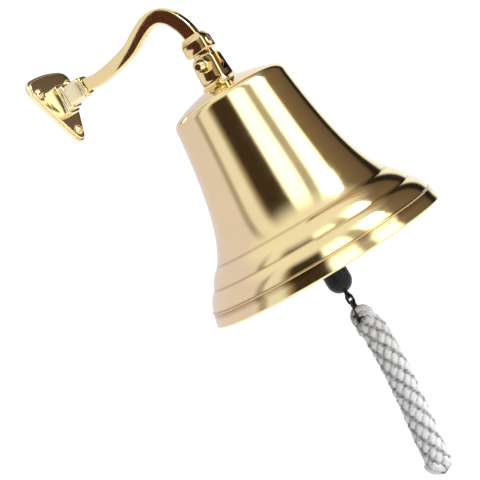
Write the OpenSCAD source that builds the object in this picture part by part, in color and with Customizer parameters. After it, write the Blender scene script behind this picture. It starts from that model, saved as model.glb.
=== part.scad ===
// Wall-hung ship's bell: triangular wall plate, swan-neck arm, pivoting bell,
// linked clapper and a plaited pull rope.
// Origin: centre of the screw circle on the wall plate's back face.
// +X points out of the wall, +Z up. Heights called "above the rim" start at the bell's mouth.

/* [Bell] */
// Diameter of the bell's mouth
rim_d = 150; // [148:1:152]
// Distance from the wall to the bell's axis
bell_reach = 104; // [103:1:108]
// Distance from the plate's centre down to the bell's mouth
rim_drop = 166; // [164:1:170]
// Thickness of the metal at the waist
wall_t = 3.4; // [2.8:0.1:4]

/* [Crown fork] */
// Width of the post on top of the bell, along the arm
post_w = 15.4; // [15:0.1:15.6]
// Depth of the post, across the arm
post_d = 12.4; // [12:0.1:13]
// Slot between the two ears
slot_w = 5; // [4.6:0.1:5.4]
// Radius of the pivot bolt
pivot_r = 2.5; // [2:0.1:3]
// Length of the pivot bolt under its head
pivot_len = 22; // [20:1:25]

/* [Wall plate] */
// Diameter of the circle through the three screws
screw_circle_d = 39; // [38:1:40]
// Width of the plate across its upper corners
plate_w = 46; // [45:1:48]
// Distance from the plate's centre down to its point
plate_low = 26.8; // [26.4:0.2:28]
// Radius of the plate's upper corners
corner_r = 7.5; // [7:0.5:8]
// Thickness of the plate at its edge
plate_t = 3.5; // [3:0.1:4.5]
// Radius of the screws' threaded length behind the wall face
screw_r = 1.75; // [1.5:0.05:2]
// Length of the screws behind the wall face
screw_len = 25; // [20:1:30]

/* [Arm] */
// Height of the arm's section at the head end
arm_h = 9; // [8.5:0.1:9.2]
// Depth of the arm's section at the head end
arm_w = 6; // [5.8:0.1:6.4]
// Size of the arm at the wall end, as a share of its size at the head
arm_taper = 0.9; // [0.88:0.01:1]
// Width of the head that takes the arm's end
head_w = 15.6; // [15:0.1:16]
// Depth of the head, across the arm
head_d = 12.4; // [12:0.1:13]

/* [Clapper] */
// Radius of the clapper's weight
bob_r = 7.75; // [7:0.05:8]
// Length of the clapper's weight
bob_len = 46.5; // [42:0.5:50]
// Radius of the clapper's rod
rod_r = 2.5; // [2:0.1:3]

/* [Pull rope] */
// Radius of the plaited rope
rope_r = 8.4; // [8:0.1:8.6]
// Radius of the black twine loop
twine_r = 0.8; // [0.7:0.05:0.9]

/* [Hidden] */
$fn = 96;

// Heights above the rim
pivot_z = 135;
ear_top = 140.9;
ear_corner_r = 4.6;
slot_floor = 127.5;
head_low = 142.2;
head_shoulder = 149.8;
head_top = 153.5;
socket_floor = 144;
rivet_z = 146.5;
dome_in_z = 115.5;
dome_foot_r = 13.2;
dome_foot_z = 121;
staple_z = 100.5;
staple_ring_r = 5;
staple_wire = 1.6;
staple_top = 124;
bob_low = -20.5;

// Clearances
running = 0.05;
fastener_gap = 0.1;
hang_gap = 0.3;
small_gap = 0.2;

// Nuts, washers and the rivet
nut_w = 8;
nut_t = 4;
washer_t = 1;
bolt_head_t = 3.5;
rivet_r = 2;
rivet_head_r = 3.4;
rivet_head_h = 1.2;
staple_r = 2.5;

// Links of the clapper: centres of the wires that turn on each other
link_r = 3.6;
link_wire = 1.3;
link_straight = 8;
swing_z = staple_z - staple_ring_r;
link_high = swing_z + staple_wire + link_wire + hang_gap - link_r;
link_low = link_high - link_straight;
sway_z = link_low - link_r;
rod_eye_r = 3.6;
rod_depth = 14;
rod_eye_z = sway_z + 2 * link_wire + hang_gap - rod_eye_r;
bob_top = bob_low + bob_len;

// Links of the pull rope
eye_r = 1.8;
eye_wire = 0.8;
eye_shank_r = 1.2;
eye_depth = 8;
bob_eye_z = bob_low - eye_r - eye_wire + 0.5;
lanyard_swing_z = bob_eye_z - eye_r;
ring_straight = 2.4;
ring_high = lanyard_swing_z + 2 * eye_wire + small_gap - eye_r;
ring_low = ring_high - ring_straight;
lanyard_sway_z = ring_low - eye_r;
twine_ring_r = 4.7;
twine_straight = 2.1;
twine_high = lanyard_sway_z + eye_wire + twine_r + small_gap - twine_ring_r;
twine_low = twine_high - twine_straight;

// The rope's eye arches over the twine
arch_r = 4.6;
arch_rope_r = 3.6;
arch_z = -38.2;
rope_top = -40;
knot_high = -134;
knot_low = -142.5;
knot_r = 8.7;

// Route of the rope below the bell's axis: it is a stiff plait and hangs a little bowed
rope_route = [[1, 0.5, rope_top], [2.6, 1.2, -50], [2.4, 1.1, -65], [1.6, 0.8, -80],
              [0, 0, -97], [-1.8, -0.9, -112], [-3.2, -1.5, -126], [-4, -1.9, knot_high]];

// Boss of the wall plate: three steps, each [distance from the wall, width, height]
boss_steps = [[8.7, 12.4, 20], [12.3, 11, 16.4], [23, 9.6, 13.4]];
boss_corner_r = 2.5;
collar_x = [23, 25.4];
collar_w = 8.8;
collar_h = 12;
tenon_r = 2.5;
recess_r = 4.9;
recess_depth = 7;
step_x = 2;
step_inset = 1.3;
screw_head_r = 3.3;
screw_head_h = 2.4;
screw_slot_w = 0.9;
screw_slot_depth = 1.2;
screw_tip = 4;
screw_shank_r = screw_r + 0.2;
screw_hole_r = screw_shank_r + 0.15;

// Route of the arm's centre line: distance from the wall and height above the plate's centre
arm_route = [[collar_x[1], 0], [36, -1.6], [50, -0.8], [64, 1.7], [74, 5.8], [83, 8.8], [91, 8.6],
             [97.5, 4], [101.5, -3], [103.2, -8], [bell_reach, head_top - rim_drop]];

// Corners of the plate, each [across, up, radius], and how far each side after them bows out
point_r = 5.5;
plate_corners = [[0, point_r - plate_low, point_r], [plate_w / 2 - corner_r, 12, corner_r],
                 [corner_r - plate_w / 2, 12, corner_r]];
side_bows = [0.5, 1.3, 0.5];

// A point on a cubic curve with four control points
function cubic(p, t) = pow(1 - t, 3) * p[0] + 3 * pow(1 - t, 2) * t * p[1]
                     + 3 * (1 - t) * t * t * p[2] + pow(t, 3) * p[3];
function cubic_line(p, steps) = [for (i = [0:steps]) cubic(p, i / steps)];

// Points on an arc about a centre, from one angle to another
function arc_line(centre, r, from, to, steps) =
    [for (i = [0:steps]) let (a = from + (to - from) * i / steps)
        centre + r * [cos(a), sin(a)]];

// Points on the shallow arc from a to b that stands out by bulge on its right
function bulge_line(a, b, bulge, steps) =
    let (d = b - a, side = [d[1], -d[0]] / norm(d))
    [for (i = [0:steps]) let (t = i / steps) a + d * t + side * bulge * 4 * t * (1 - t)];

// A smooth curve through the points
function through(p, steps) = concat(
    [for (i = [0:len(p) - 2], j = [0:steps - 1])
        let (t = j / steps, a = p[max(i - 1, 0)], b = p[i], c = p[i + 1],
             d = p[min(i + 2, len(p) - 1)])
        b + 0.5 * t * (c - a + t * (2 * a - 5 * b + 4 * c - d + t * (3 * (b - c) + d - a)))],
    [p[len(p) - 1]]);

// Faces of a tube made of rings of points, closed at both ends
function tube_faces(rings, sides) = concat(
    [[for (i = [0:sides - 1]) i]],
    [for (k = [0:rings - 2], i = [0:sides - 1])
        let (j = (i + 1) % sides, a = k * sides, b = a + sides) [a + i, b + i, b + j, a + j]],
    [[for (i = [sides - 1:-1:0]) (rings - 1) * sides + i]]);

// Outside of the bell, from the lip up: lip, bead, two rolled bands, waist, shoulder, dome
rim_r = rim_d / 2;
outside = concat(
    arc_line([rim_r - 1.2, 1.2], 1.2, -90, 0, 6),
    [[rim_r - 2.1, 8.2]],
    arc_line([rim_r - 2.2, 8.8], 0.6, -80, 90, 6),
    bulge_line([rim_r - 2.6, 9.5], [rim_r - 9, 19.6], 1, 8),
    bulge_line([rim_r - 9.3, 20.2], [rim_r - 17.4, 30.6], 0.8, 8),
    cubic_line([[rim_r - 18, 31.4], [rim_r - 27.4, 44], [rim_r - 33.5, 66],
                [rim_r - 38.2, 108]], 24),
    arc_line([rim_r - 44.8, 109], 6.6, 8, 76, 8),
    bulge_line([rim_r - 44, 115.8], [dome_foot_r, dome_foot_z], 0.5, 6));
inside = concat(
    [[0, dome_in_z], [8, dome_in_z]],
    bulge_line([10, 115.2], [rim_r - 45.8, 111.3], -0.4, 5),
    arc_line([rim_r - 46.6, 107.3], 4, 70, 4, 6),
    cubic_line([[rim_r - 38.2 - wall_t, 104], [rim_r - 34.3 - wall_t, 66],
                [rim_r - 27.6 - wall_t, 43], [rim_r - 16.6 - wall_t, 29]], 20),
    cubic_line([[rim_r - 16.2 - wall_t, 28.4], [rim_r - 12, 17], [rim_r - 7.6, 9],
                [rim_r - 5.6, 0.8]], 10),
    [[rim_r - 5, 0]]);
bell_section = concat(outside, [[dome_foot_r, dome_foot_z - 1], [0, dome_foot_z - 1]], inside);

module at_bell() { translate([bell_reach, 0, -rim_drop]) children(); }
module along_x() { rotate([0, 90, 0]) children(); }
module along_y() { rotate([-90, 0, 0]) children(); }

// A rectangle with round corners about the origin
module round_rect(w, h, r) {
    square([w - 2 * r, h], center = true);
    square([w, h - 2 * r], center = true);
    for (x = [-1, 1], y = [-1, 1]) translate([x * (w / 2 - r), y * (h / 2 - r)]) circle(r);
}

// A square block standing between two heights, its outline rounded at the top
module arched_block(w, depth, low, top, r) {
    rotate([90, 0, 0]) linear_extrude(depth, center = true) {
        translate([-w / 2, low]) square([w, top - low - r]);
        translate([r - w / 2, low]) square([w - 2 * r, top - low]);
        for (x = [-1, 1]) translate([x * (w / 2 - r), top - r]) circle(r);
    }
}

module hex_nut(across, thick, bore_r) {
    difference() {
        cylinder(h = thick, r = across / 2 / cos(30), $fn = 6);
        translate([0, 0, -1]) cylinder(h = thick + 2, r = bore_r);
    }
}

module washer(r, thick, bore_r) {
    difference() {
        cylinder(h = thick, r = r);
        translate([0, 0, -1]) cylinder(h = thick + 2, r = bore_r);
    }
}

// A low dome standing on the plane z = 0, with a small flat on top
module dome(r, h) {
    ball_r = (r * r + h * h) / (2 * h);
    intersection() {
        translate([0, 0, h - ball_r]) sphere(ball_r);
        translate([-2 * r, -2 * r, 0]) cube([4 * r, 4 * r, 0.96 * h]);
    }
}

// A wire ring standing in the XZ plane, or drawn out into a link by a straight part
module wire_link(r, wire, straight) {
    for (end = [0, 1])
        translate([0, 0, end * straight]) rotate([90, end * 180 + 180, 0])
            rotate_extrude(angle = 180, $fn = 64) translate([r, 0]) circle(wire, $fn = 32);
    if (straight > 0)
        for (x = [-r, r]) translate([x, 0, 0]) cylinder(h = straight, r = wire, $fn = 32);
}

// Chord between two corners of the plate: [direction it faces, angle at which its bow meets them]
function plate_chord(k) =
    let (a = plate_corners[k], b = plate_corners[(k + 1) % 3], d = b - a,
         gap = norm([d[0], d[1]]))
    [atan2(d[1], d[0]) - 90 + asin((a[2] - b[2]) / gap), atan(4 * side_bows[k] / gap)];

// Outline of the plate: three corner arcs joined by sides that bow out and meet them smoothly
function plate_points(inset) =
    let (ends = [for (k = [0:2]) let (c = plate_corners[k], from = plate_chord((k + 2) % 3),
                                      to = plate_chord(k))
                 arc_line([c[0], c[1]], c[2] - inset, from[0] + from[1],
                          to[0] - to[1] + (k == 2 ? 360 : 0), 8)])
    [for (k = [0:2]) let (side = bulge_line(ends[k][8], ends[(k + 1) % 3][0], side_bows[k], 8))
        each concat(ends[k], [for (i = [1:7]) side[i]])];

// Places children at one screw, with +Z out of the wall
module at_screw(angle) {
    rotate([angle, 0, 0]) translate([0, screw_circle_d / 2, 0]) along_x() children();
}

module wall_plate() {
    color("goldenrod") difference() {
        union() {
            rotate([90, 0, 90]) linear_extrude(step_x) polygon(plate_points(0));
            rotate([90, 0, 90]) linear_extrude(plate_t)
                polygon(plate_points(step_inset));
            for (s = boss_steps)
                rotate([90, 0, 90]) linear_extrude(s[0]) round_rect(s[1], s[2], boss_corner_r);
        }
        translate([-1, 0, 0]) along_x() cylinder(h = recess_depth + 1, r = recess_r);
        along_x() cylinder(h = collar_x[0] + 1, r = tenon_r + fastener_gap);
        for (a = [-90, 30, 150]) at_screw(a)
            translate([0, 0, -1]) cylinder(h = plate_t + 2, r = screw_hole_r);
    }
}

// A round-headed slotted wood screw: the shank fills the plate, the thread starts behind it
module wall_screw(angle) {
    shank = 0.5;
    color("khaki") at_screw(angle) {
        difference() {
            translate([0, 0, plate_t]) dome(screw_head_r, screw_head_h);
            translate([-screw_head_r, -screw_slot_w / 2, plate_t + screw_head_h - screw_slot_depth])
                cube([2 * screw_head_r, screw_slot_w, screw_slot_depth + 1]);
        }
        translate([0, 0, -shank]) cylinder(h = plate_t + shank + 0.2, r = screw_shank_r);
        translate([0, 0, screw_tip - screw_len]) cylinder(h = screw_len - screw_tip, r = screw_r);
        translate([0, 0, -screw_len]) cylinder(h = screw_tip, r1 = 0.2, r2 = screw_r);
    }
}

module wall_screw_left() { wall_screw(150); }
module wall_screw_right() { wall_screw(30); }
module wall_screw_low() { wall_screw(-90); }

module arm_collar() {
    color("gold") difference() {
        translate([collar_x[0], 0, 0]) rotate([90, 0, 90])
            linear_extrude(collar_x[1] - collar_x[0])
            round_rect(collar_w, collar_h, boss_corner_r);
        along_x() cylinder(h = collar_x[1] + 1, r = tenon_r + fastener_gap);
    }
}

module arm_washer() {
    color("silver") translate([recess_depth - washer_t, 0, 0]) along_x()
        washer(recess_r - small_gap, washer_t, tenon_r + fastener_gap);
}

module arm_nut() {
    color("silver") translate([1, 0, 0]) along_x()
        hex_nut(nut_w, recess_depth - washer_t - 1, tenon_r);
}

// Corners of the arm's section, as [along the arm's height, along its depth]
arm_corner_r = 1.6;
arm_section = [for (c = [0:3]) each arc_line(
    [(c == 0 || c == 3 ? 1 : -1) * (arm_h / 2 - arm_corner_r),
     (c < 2 ? 1 : -1) * (arm_w / 2 - arm_corner_r)], arm_corner_r, c * 90, c * 90 + 90, 5)];

module arm_sweep() {
    line = through(arm_route, 4);
    last = len(line) - 1;
    sides = len(arm_section);
    points = [for (i = [0:last])
        let (t = i == 0 ? [1, 0] : i == last ? [0, -1]
               : (line[i + 1] - line[i - 1]) / norm(line[i + 1] - line[i - 1]),
             size = arm_taper + (1 - arm_taper) * min(1, 2 * i / last))
        for (s = arm_section) [line[i][0] - t[1] * s[0] * size, -s[1] * size,
                               line[i][1] + t[0] * s[0] * size]];
    polyhedron(points, tube_faces(last + 1, sides));
}

module bracket_arm() {
    color("darkgoldenrod") difference() {
        union() {
            arm_sweep();
            at_bell() translate([0, 0, socket_floor + 0.1])
                linear_extrude(head_top - socket_floor - 0.1) polygon(arm_section);
            translate([0.6, 0, 0]) along_x() cylinder(h = collar_x[1] + 2, r = tenon_r);
        }
        at_bell() translate([-head_w, 0, rivet_z]) along_x() cylinder(h = 2 * head_w, r = rivet_r);
    }
}

// A block between the head's two heights that slopes in above its shoulder
module shouldered_block(w, depth, top_w) {
    rotate([90, 0, 0]) linear_extrude(depth, center = true)
        polygon([[-w / 2, head_low], [w / 2, head_low], [w / 2, head_shoulder],
                 [top_w / 2, head_top], [-top_w / 2, head_top], [-w / 2, head_shoulder]]);
}

// Head riveted to the arm's end, with a round-ended tongue for the pivot bolt
module arm_head() {
    tongue_r = 6;
    tongue_t = slot_w - 2 * hang_gap;
    socket_wall = 1.4;
    color("goldenrod") at_bell() difference() {
        union() {
            intersection() {
                shouldered_block(head_w, head_d, arm_h + 2 * socket_wall);
                rotate(90) shouldered_block(head_d, head_w, arm_w + 2 * socket_wall);
            }
            translate([-tongue_r, -tongue_t / 2, pivot_z])
                cube([2 * tongue_r, tongue_t, head_low - pivot_z + 1]);
            translate([0, -tongue_t / 2, pivot_z]) along_y() cylinder(h = tongue_t, r = tongue_r);
        }
        translate([-arm_h / 2 - running, -arm_w / 2 - running, socket_floor])
            cube([arm_h + 2 * running, arm_w + 2 * running, head_top]);
        translate([-head_w, 0, rivet_z]) along_x() cylinder(h = 2 * head_w, r = rivet_r);
        translate([0, -head_w, pivot_z]) along_y() cylinder(h = 2 * head_w, r = pivot_r + running);
    }
}

module head_rivet() {
    color("gold") at_bell() translate([0, 0, rivet_z]) {
        translate([-head_w / 2 - 0.2, 0, 0]) along_x() cylinder(h = head_w + 0.4, r = rivet_r);
        for (s = [1, -1]) translate([s * head_w / 2, 0, 0]) rotate([0, s * 90, 0])
            dome(rivet_head_r, rivet_head_h);
    }
}

module bell_shell() {
    color("gold") at_bell() difference() {
        union() {
            rotate_extrude($fn = 180) polygon(bell_section);
            rotate_extrude() difference() {
                translate([0, dome_foot_z - 1.5]) square([dome_foot_r, 7.5]);
                translate([dome_foot_r, dome_foot_z + 6]) circle(6);
            }
            arched_block(post_w, post_d, dome_foot_z - 1, ear_top, ear_corner_r);
        }
        translate([-post_w, -slot_w / 2, slot_floor]) cube([2 * post_w, slot_w, 20]);
        translate([0, -post_w, pivot_z]) along_y() cylinder(h = 2 * post_w, r = pivot_r);
        translate([0, 0, dome_in_z - 1])
            cylinder(h = staple_top - dome_in_z + 1, r = staple_r);
    }
}

module pivot_bolt() {
    color("silver") at_bell() translate([0, post_d / 2 + washer_t, pivot_z]) {
        along_y() cylinder(h = bolt_head_t, r = nut_w / 2 / cos(30), $fn = 6);
        translate([0, -pivot_len, 0]) along_y() cylinder(h = pivot_len + 1, r = pivot_r);
    }
}

module pivot_washer() {
    color("silver") at_bell() translate([0, post_d / 2, pivot_z]) along_y()
        washer(pivot_r * 2, washer_t, pivot_r);
}

module pivot_nut() {
    color("silver") at_bell() translate([0, -post_d / 2 - nut_t, pivot_z])
        along_y() hex_nut(nut_w, nut_t, pivot_r);
}

module clapper_staple() {
    color("silver") at_bell() {
        translate([0, 0, staple_z]) rotate(90) wire_link(staple_ring_r, staple_wire, 0);
        translate([0, 0, staple_z + staple_ring_r])
            cylinder(h = staple_top - staple_z - staple_ring_r, r = staple_r);
    }
}

module staple_washer() {
    color("silver") at_bell() translate([0, 0, dome_in_z - washer_t])
        washer(staple_r * 2 + 1, washer_t, staple_r);
}

module staple_nut() {
    color("silver") at_bell() translate([0, 0, dome_in_z - washer_t - nut_t])
        hex_nut(nut_w, nut_t, staple_r);
}

module clapper_link() {
    color("silver") at_bell() translate([0, 0, link_low])
        wire_link(link_r, link_wire, link_straight);
}

module clapper_rod() {
    color("dimgray") at_bell() {
        translate([0, 0, rod_eye_z]) rotate(90) wire_link(rod_eye_r, link_wire, 0);
        translate([0, 0, bob_top - rod_depth])
            cylinder(h = rod_eye_z - rod_eye_r - bob_top + rod_depth, r = rod_r);
    }
}

module clapper_lock_nut() {
    color("dimgray") at_bell() translate([0, 0, bob_top])
        hex_nut(nut_w, nut_t, rod_r);
}

module clapper_bob() {
    edge = 1.5;
    color("black") at_bell() difference() {
        union() {
            translate([0, 0, bob_low + bob_r]) sphere(bob_r);
            translate([0, 0, bob_low + bob_r]) cylinder(h = bob_len - bob_r - edge, r = bob_r);
            translate([0, 0, bob_top - edge]) cylinder(h = edge, r1 = bob_r, r2 = bob_r - edge);
        }
        translate([0, 0, bob_top - rod_depth]) cylinder(h = rod_depth + 1, r = rod_r);
        translate([0, 0, bob_low - 1]) cylinder(h = eye_depth + 1, r = eye_shank_r);
    }
}

module bob_eye() {
    color("black") at_bell() {
        translate([0, 0, bob_eye_z]) rotate(90) wire_link(eye_r, eye_wire, 0);
        translate([0, 0, bob_eye_z + eye_r])
            cylinder(h = bob_low + eye_depth - bob_eye_z - eye_r, r = eye_shank_r);
    }
}

module lanyard_ring() {
    color("black") at_bell() translate([0, 0, ring_low])
        wire_link(eye_r, eye_wire, ring_straight);
}

module lanyard_twine() {
    color("black") at_bell() translate([0, 0, twine_low]) rotate(90)
        wire_link(twine_ring_r, twine_r, twine_straight);
}

module lanyard_eye() {
    color("ivory") at_bell() translate([0, 0, arch_z]) {
        rotate([90, 0, 0]) rotate_extrude(angle = 180, $fn = 64)
            translate([arch_r, 0]) circle(arch_rope_r, $fn = 32);
        for (x = [-arch_r, arch_r]) translate([x, 0, rope_top - arch_z])
            cylinder(h = arch_z - rope_top, r = arch_rope_r, $fn = 32);
    }
}

module lanyard_rope() {
    sides = 12;
    points = [for (p = rope_route, i = [0:sides - 1])
        p + rope_r * [cos(i * 360 / sides), sin(i * 360 / sides), 0]];
    color("ivory") at_bell() polyhedron(points, tube_faces(len(rope_route), sides));
}

module lanyard_knot() {
    edge = 4;
    color("ivory") at_bell() translate(rope_route[len(rope_route) - 1])
        translate([0, 0, knot_low - knot_high]) rotate_extrude() intersection() {
            round_rect(2 * knot_r, 2 * (knot_high - knot_low), edge);
            square([knot_r, knot_high - knot_low]);
        }
}

wall_plate();
wall_screw_left();
wall_screw_right();
wall_screw_low();
arm_collar();
arm_washer();
arm_nut();
bracket_arm();
arm_head();
head_rivet();
bell_shell();
pivot_bolt();
pivot_washer();
pivot_nut();
clapper_staple();
staple_washer();
staple_nut();
clapper_link();
clapper_rod();
clapper_lock_nut();
clapper_bob();
bob_eye();
lanyard_ring();
lanyard_twine();
lanyard_eye();
lanyard_rope();
lanyard_knot();
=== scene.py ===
"""The looks of a wall-hung ship's bell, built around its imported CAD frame.

Lengths inside the builders are millimetres. Heights called z are above the bell's mouth, and a piece is
moved to its place in the frame as its mesh is made.
"""

import math

import bmesh
import bpy
import numpy as np
from mathutils import Matrix, Vector


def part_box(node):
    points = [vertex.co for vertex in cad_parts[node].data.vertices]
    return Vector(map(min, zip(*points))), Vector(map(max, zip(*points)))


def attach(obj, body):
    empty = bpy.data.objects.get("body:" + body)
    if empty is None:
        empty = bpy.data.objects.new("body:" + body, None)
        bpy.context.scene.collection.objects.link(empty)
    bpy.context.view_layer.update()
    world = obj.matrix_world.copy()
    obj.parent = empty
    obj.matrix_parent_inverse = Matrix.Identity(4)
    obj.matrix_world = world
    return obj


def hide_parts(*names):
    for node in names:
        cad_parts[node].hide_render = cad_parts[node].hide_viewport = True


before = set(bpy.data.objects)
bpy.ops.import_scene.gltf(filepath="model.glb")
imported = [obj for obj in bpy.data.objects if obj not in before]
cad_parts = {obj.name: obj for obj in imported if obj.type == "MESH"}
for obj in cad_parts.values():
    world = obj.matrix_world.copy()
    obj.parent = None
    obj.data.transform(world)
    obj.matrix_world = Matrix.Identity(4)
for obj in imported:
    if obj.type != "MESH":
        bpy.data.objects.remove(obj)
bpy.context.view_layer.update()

MM = 0.001
TAU = 2 * math.pi

# Places that the frame gives: the bell's axis and mouth, and the plate's centre at the origin
bell_low, bell_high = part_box("bell_shell")
BELL_X = (bell_low.x + bell_high.x) / 2 / MM
RIM_Z = bell_low.z / MM
RIM_R = (bell_high.x - bell_low.x) / 2 / MM
AT_BELL = np.array([BELL_X, 0, RIM_Z])
AT_PLATE = np.zeros(3)


# ---- camera

CAMERA_AZIMUTH = math.radians(26)
CAMERA_ROLL = math.radians(31.1)
# The eye's distance from the bell's axis and its height, and how far left of the axis and how high it looks
CAMERA_DISTANCE = 720
EYE_Z = 65
AIM_LEFT = 37.5
AIM_Z = 37.5
LENS = 92.25

# Level directions at the camera's azimuth: from the bell to the camera, and to the picture's right
TO_CAMERA = Vector((math.sin(CAMERA_AZIMUTH), -math.cos(CAMERA_AZIMUTH), 0))
TO_RIGHT = Vector((math.cos(CAMERA_AZIMUTH), math.sin(CAMERA_AZIMUTH), 0))


def new_object(name, data):
    """An object linked into the scene."""
    made = bpy.data.objects.new(name, data)
    bpy.context.scene.collection.objects.link(made)
    return made


def make_camera():
    """The camera at the photo's angle, rolled as the photo is turned."""
    axis_foot = Vector(AT_BELL)
    eye = axis_foot + TO_CAMERA * CAMERA_DISTANCE + Vector((0, 0, EYE_Z))
    aim = axis_foot - TO_RIGHT * AIM_LEFT + Vector((0, 0, AIM_Z))
    data = bpy.data.cameras.new("camera")
    data.lens = LENS
    data.sensor_width = 36
    data.clip_start = 0.05
    data.clip_end = 50
    camera = new_object("camera", data)
    camera.location = eye * MM
    look = (aim - eye).to_track_quat("-Z", "Y")
    camera.rotation_mode = "QUATERNION"
    camera.rotation_quaternion = look @ Matrix.Rotation(-CAMERA_ROLL, 3, "Z").to_quaternion()
    bpy.context.scene.camera = camera


make_camera()


# ---- curves

def arc_line(centre, r, start, end, steps):
    """Points on an arc in a plane, its angles in degrees."""
    a = np.radians(np.linspace(start, end, steps + 1))
    return np.array(centre) + r * np.stack([np.cos(a), np.sin(a)], 1)


def bulge_line(a, b, bulge, steps):
    """Points on the shallow arc from a to b that stands out by bulge on its right."""
    a, b = np.array(a, float), np.array(b, float)
    d = b - a
    side = np.array([d[1], -d[0]]) / np.linalg.norm(d)
    t = np.linspace(0, 1, steps + 1)[:, None]
    return a + d * t + side * bulge * 4 * t * (1 - t)


def cubic_line(p, steps):
    """Points on a cubic curve with four control points."""
    p = np.array(p, float)
    t = np.linspace(0, 1, steps + 1)[:, None]
    return (1 - t) ** 3 * p[0] + 3 * (1 - t) ** 2 * t * p[1] + 3 * (1 - t) * t * t * p[2] + t**3 * p[3]


def through(points, steps):
    """A smooth curve through the points (a Catmull-Rom spline), with steps between each two."""
    p = np.array(points, float)
    out = []
    for i in range(len(p) - 1):
        a, b, c, d = p[max(i - 1, 0)], p[i], p[i + 1], p[min(i + 2, len(p) - 1)]
        for t in np.arange(steps) / steps:
            cubic = 3 * (b - c) + d - a
            square = 2 * a - 5 * b + 4 * c - d
            out.append(b + 0.5 * t * (c - a + t * (square + t * cubic)))
    return np.array(out + [p[-1]])


def run_along(line):
    """How far along a line each of its points lies."""
    return np.concatenate([[0], np.cumsum(np.linalg.norm(np.diff(line, axis=0), axis=1))])


def smooth_step(low, high, value):
    """From 0 at low to 1 at high, level at both ends; low may be above high."""
    t = np.clip((np.asarray(value, float) - low) / (high - low), 0, 1)
    return t * t * (3 - 2 * t)


# ---- meshes

def loft(rings, loop=False):
    """Points and faces of a skin over rings of equally many points: capped, or joined into a loop."""
    rings = [np.asarray(r, float) for r in rings]
    n = len(rings[0])
    count = len(rings)
    faces = []
    for k in range(count if loop else count - 1):
        a, b = k * n, (k + 1) % count * n
        faces += [(a + i, a + (i + 1) % n, b + (i + 1) % n, b + i) for i in range(n)]
    if not loop:
        faces += [tuple(range(n))[::-1], tuple(range((count - 1) * n, count * n))]
    return np.concatenate(rings), faces


def joined(parts):
    """Several skins as one."""
    points = []
    faces = []
    start = 0
    for p, f in parts:
        points.append(p)
        faces += [tuple(i + start for i in face) for face in f]
        start += len(p)
    return np.concatenate(points), faces


def along_x(rings):
    """Rings of (a, b, height) points turned so that their height runs along X."""
    return [np.asarray(r, float)[:, (2, 0, 1)] for r in rings]


def flat_ring(outline, height):
    """A flat outline's points at a height."""
    outline = np.asarray(outline, float)
    return np.column_stack([outline, np.full(len(outline), height)])


# The corners of a square of half-width 1, in order
SQUARE = ((-1, -1), (1, -1), (1, 1), (-1, 1))


def full_turn(sides):
    """Equally spaced angles of a full turn."""
    return np.arange(sides) * TAU / sides


def circle(r, sides):
    """Outline of a circle."""
    a = full_turn(sides)
    return r * np.stack([np.cos(a), np.sin(a)], 1)


def round_rect(w, h, r):
    """Outline of a rectangle with round corners, starting at its first corner."""
    corners = []
    for k in range(4):
        x = (1 if k in (0, 3) else -1) * (w / 2 - r)
        y = (1 if k < 2 else -1) * (h / 2 - r)
        corners.append(arc_line((x, y), r, k * 90, k * 90 + 90, 8))
    return np.concatenate(corners)


def bowed_rect(w, h, r, bow):
    """Outline of a rectangle with round corners and gently bowed sides, as on a hand-finished casting."""
    points = []
    for k in range(4):
        turn = np.array([(0, 1), (-1, 0)]) if k % 2 else np.eye(2)
        turn = turn if k < 2 else -turn
        long, across = (h, w) if k % 2 == 0 else (w, h)
        corner = arc_line((across / 2 - r, long / 2 - r), r, 0, 90, 6)
        side = bulge_line((across / 2, -(long / 2 - r)), (across / 2, long / 2 - r), bow, 10)
        points.append(np.concatenate([side[:-1], corner[:-1]]) @ turn)
    return np.concatenate(points)


def turned(profile, sides, loop=False):
    """A skin turned about Z from (radius, height) points."""
    return loft([flat_ring(circle(r, sides), z) for r, z in profile], loop)


def rounded_levels(low, high, edge):
    """(height, inset) pairs up the side of a slab whose two edges are rounded."""
    a = np.radians(np.linspace(0, 90, 5))
    top = [(high - edge + edge * math.sin(x), edge * (1 - math.cos(x))) for x in a]
    return [(low + high - z, inset) for z, inset in top[::-1]] + top


def new_mesh(name, skin, at):
    """A mesh of a skin moved to its place in the frame, with its faces turned outwards."""
    points, faces = skin
    mesh = bpy.data.meshes.new(name)
    mesh.from_pydata(((points + at) * MM).tolist(), [], faces)
    edit = bmesh.new()
    edit.from_mesh(mesh)
    bmesh.ops.recalc_face_normals(edit, faces=edit.faces)
    edit.to_mesh(mesh)
    edit.free()
    return mesh


def shade_smooth(mesh, crease=40):
    """Smooth shading, but for edges sharper than the crease angle in degrees."""
    mesh.shade_smooth()
    mesh.set_sharp_from_angle(angle=math.radians(crease))


def make_piece(name, skin, material, body, stands_for=(), at=AT_BELL, crease=40, shades=None):
    """A mesh piece in its place in the frame, riding on its body; shades give each point a grey level."""
    mesh = new_mesh(name, skin, at)
    if shades is not None:
        layer = mesh.color_attributes.new("shade", "FLOAT_COLOR", "POINT")
        colours = np.ones((len(shades), 4), np.float32)
        colours[:, :3] = shades[:, None]
        layer.data.foreach_set("color", colours.ravel())
    shade_smooth(mesh, crease)
    piece = new_object(name, mesh)
    mesh.materials.append(material)
    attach(piece, body)
    if stands_for:
        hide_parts(*stands_for)
    return piece


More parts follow.
